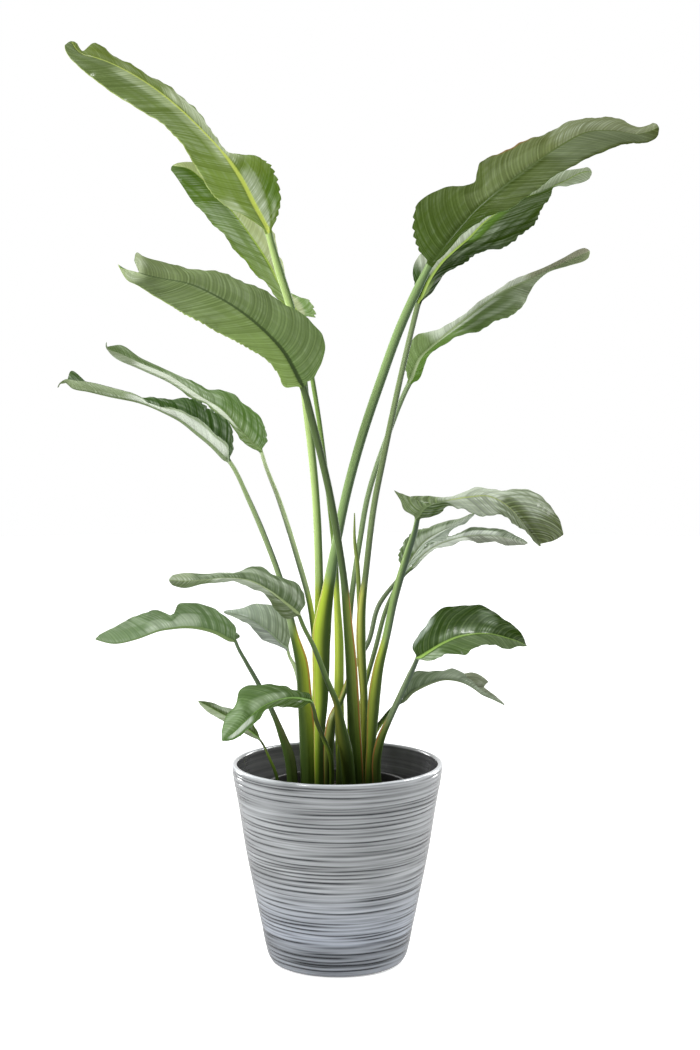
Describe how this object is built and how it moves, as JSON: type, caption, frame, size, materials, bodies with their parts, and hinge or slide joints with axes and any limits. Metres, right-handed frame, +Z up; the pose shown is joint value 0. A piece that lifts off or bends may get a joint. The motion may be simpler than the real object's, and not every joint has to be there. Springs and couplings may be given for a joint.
{
  "type": "potted giant white bird of paradise",
  "caption": "Potted giant white bird of paradise with long-stalked paddle leaves in a nursery pot, inside a tapered grey glazed pot.",
  "frame": {"origin": "middle of the glazed pot's flat underside, on the floor", "axes": "+Z up, -Y towards the front, which faced the camera, +X to the front's right"},
  "size_m": [0.8229, 0.523, 1.3055],
  "materials": {
    "pot_glaze": "gloss",
    "nursery_plastic": "satin",
    "potting_soil": "matt, loose bark and peat",
    "leaf_green": "waxy, satin",
    "young_leaf_green": "waxy, satin"
  },
  "bodies": {
    "root": {"glazed_pot": "pot_glaze", "nursery_pot": "nursery_plastic", "soil": "potting_soil", "leaf_top_left": "leaf_green", "leaf_second_left": "leaf_green", "leaf_front_left": "leaf_green", "leaf_middle_left": "leaf_green", "leaf_folded_left": "leaf_green", "leaf_rolled_left": "leaf_green", "leaf_low_left": "leaf_green", "leaf_small_left": "leaf_green", "leaf_front_low": "leaf_green", "leaf_lowest_left": "leaf_green", "leaf_top_right": "leaf_green", "leaf_second_right": "leaf_green", "leaf_third_right": "leaf_green", "leaf_middle_right": "leaf_green", "leaf_thin_right": "leaf_green", "leaf_back_right": "leaf_green", "leaf_low_right": "leaf_green", "leaf_lowest_right": "leaf_green", "rolled_spear": "young_leaf_green", "young_shoot": "young_leaf_green"}
  },
  "joints": []
}
